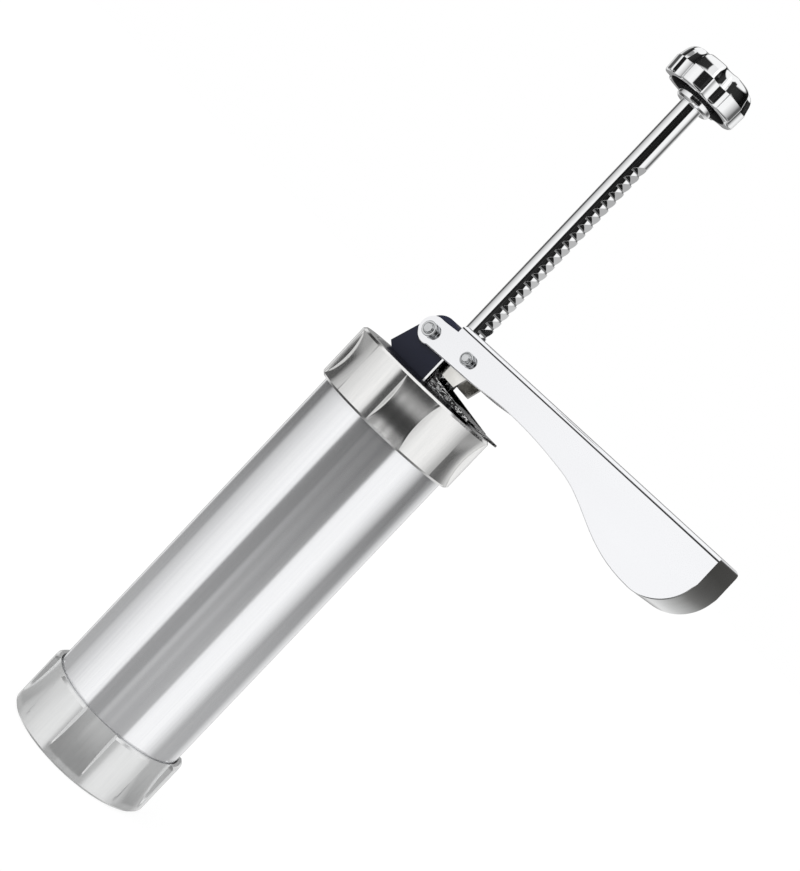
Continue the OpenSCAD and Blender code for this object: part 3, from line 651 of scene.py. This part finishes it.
def lever_skin():
    """The lever's channel, with a round bend where its web folds down into the flanges, and
    its cut edges rounded. Its inside has a material of its own, and its round end one with a
    painted dark reflection."""
    low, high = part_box("lever")
    half_width = high.y - HAIR
    up = Vector((-math.sin(LEVER_SLOPE), 0, math.cos(LEVER_SLOPE)))
    mesh = cad_mesh("lever")
    b = bmesh.new()
    b.from_mesh(mesh)
    web = max(v.co.dot(up) for v in b.verts)
    web_from = min(v.co.x for v in b.verts if v.co.dot(up) > web - HAIR) - LEVER_SHEET
    for i in range(BEND_STEPS):
        drop = LEVER_BEND * (1 - math.sin(math.radians(90 * i / BEND_STEPS)))
        bmesh.ops.bisect_plane(b, geom=b.verts[:] + b.edges[:] + b.faces[:],
                               plane_co=up * (web - drop), plane_no=up)
    for v in b.verts:
        drop = web - v.co.dot(up)
        if abs(v.co.y) > half_width and drop < LEVER_BEND and v.co.x > web_from - 10 * HAIR:
            rise = LEVER_BEND - drop
            y = high.y - LEVER_BEND + math.sqrt(max(0.0, LEVER_BEND ** 2 - rise ** 2))
            v.co.y = math.copysign(y, v.co.y)
    bmesh.ops.recalc_face_normals(b, faces=b.faces)
    weight = b.edges.layers.float.new("bevel_weight_edge")
    for edge in b.edges:
        ends = [v.co for v in edge.verts]
        foot = min(web - p.dot(up) for p in ends) > LEVER_FOOT
        if edge.is_manifold and foot and edge.calc_face_angle(0) > math.radians(40):
            edge[weight] = 1.0 if min(abs(p.y) for p in ends) > half_width else 0.3
    for face in b.faces:
        middle = face.calc_center_median()
        inward = abs(face.normal.y) > 0.9 and face.normal.y * middle.y < 0
        under = face.normal.z < -0.95 and middle.z > low.z + UNDER_WEB
        # Faces of the round end get the painted dark reflection.
        painted_reflection_end = (middle.x > high.x - LEVER_END_LENGTH and abs(face.normal.y) < 0.3
                     and face.normal.z < 0.5 and face.normal.x > 0.02)
        face.material_index = 2 if painted_reflection_end else 1 if inward or under else 0
    b.to_mesh(mesh)
    b.free()
    mesh.shade_smooth()
    mesh.set_sharp_from_angle(angle=math.radians(30))
    piece = show(mesh, "lever", [LEVER_CHROME, LEVER_INSIDE, LEVER_END_PAINTED_REFLECTION])
    bevel(piece, 0.4, segments=3, weighted=True)
    piece.modifiers.new("normals", "WEIGHTED_NORMAL").keep_sharp = True


lever_skin()

# ---- Rod, bracket and the rest ---------------------------------------------------

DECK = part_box("guide_block")[0].z
# No gusset reaches this high above the deck
GUSSET_TOP = 5 * MM


def tooth_slope(face):
    """True on the teeth's milled slopes, which face up and away from the rod."""
    return 0.1 < face.normal.z < 0.95 and face.normal.x > 0.1


def upright_edge(face):
    """True on the cut side edges of the bracket's upright, above its gussets."""
    return abs(face.normal.y) > 0.9 and face.calc_center_median().z > DECK + GUSSET_TOP


rod = show(cad_mesh("ratchet_rod", tooth_slope), "ratchet_rod",
           [CHROME, MILLED])
bevel(rod, 0.05, segments=2)
bracket = show(cad_mesh("bracket", upright_edge), "bracket",
               [BRACKET_PAINTED_REFLECTIONS, CHROME])
bevel(bracket, 0.16, material=1)

# Material, slot and width of the rounded edges in millimetres
LOOKS = {
    "barrel": (BARREL, "brushed_aluminium", 0.3),
    "die_disc": (SHEET, "disc_aluminium", 0.15),
    "top_plate": (PLATE_PAINTED_SHADE, "polished_chrome", 0.3),
    "bracket_rivets": (PIN, "pin_steel", 0.15),
    "guide_block": (BLOCK, "block_plastic", 0.35),
    "block_screws": (PIN, "pin_steel", 0.15),
    "rod_clip": (SPRING, "spring_steel", 0.08),
    "lever_pin": (PIN, "pin_steel", 0.3),
    "lever_pin_rings": (PIN, "pin_steel", 0.3),
    "pawl_pin": (PIN, "pin_steel", 0.3),
    "pawl_pin_rings": (PIN, "pin_steel", 0.3),
    "drive_pawl": (PAWL_CHROME, "polished_chrome", 0.25),
    "knob_collar": (CHROME, "polished_chrome", 0.3),
    "piston": (PISTON, "piston_aluminium", 0.3),
    "piston_seal": (SEAL, "seal_rubber", 0.25),
    "piston_washer": (PIN, "pin_steel", 0.15),
    "piston_nut": (PIN, "pin_steel", 0.2),
}
for node, (material, slot, width) in LOOKS.items():
    soften(node, material, width)

# The return spring's upper arm follows the lever's web, and its coil stays in the block. Its
# skin is shown unattached in place; the points at its coil's edge and short of its end are passed
# along but not used.
ARM_END = 5.5 * MM
pin_low, pin_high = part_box("lever_pin")
spring_low, spring_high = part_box("lever_spring")
pivot = (pin_low + pin_high) / 2
arm_from = pivot + Vector((pivot.x - spring_low.x, 0, 0))
arm_to = Vector((spring_high.x - ARM_END, 0, pivot.z))
show(cad_mesh("lever_spring"), "lever_spring", [SPRING],
     blend=("head", "lever", arm_from, arm_to))
show(cad_mesh("pawl_spring"), "pawl_spring", [SPRING])
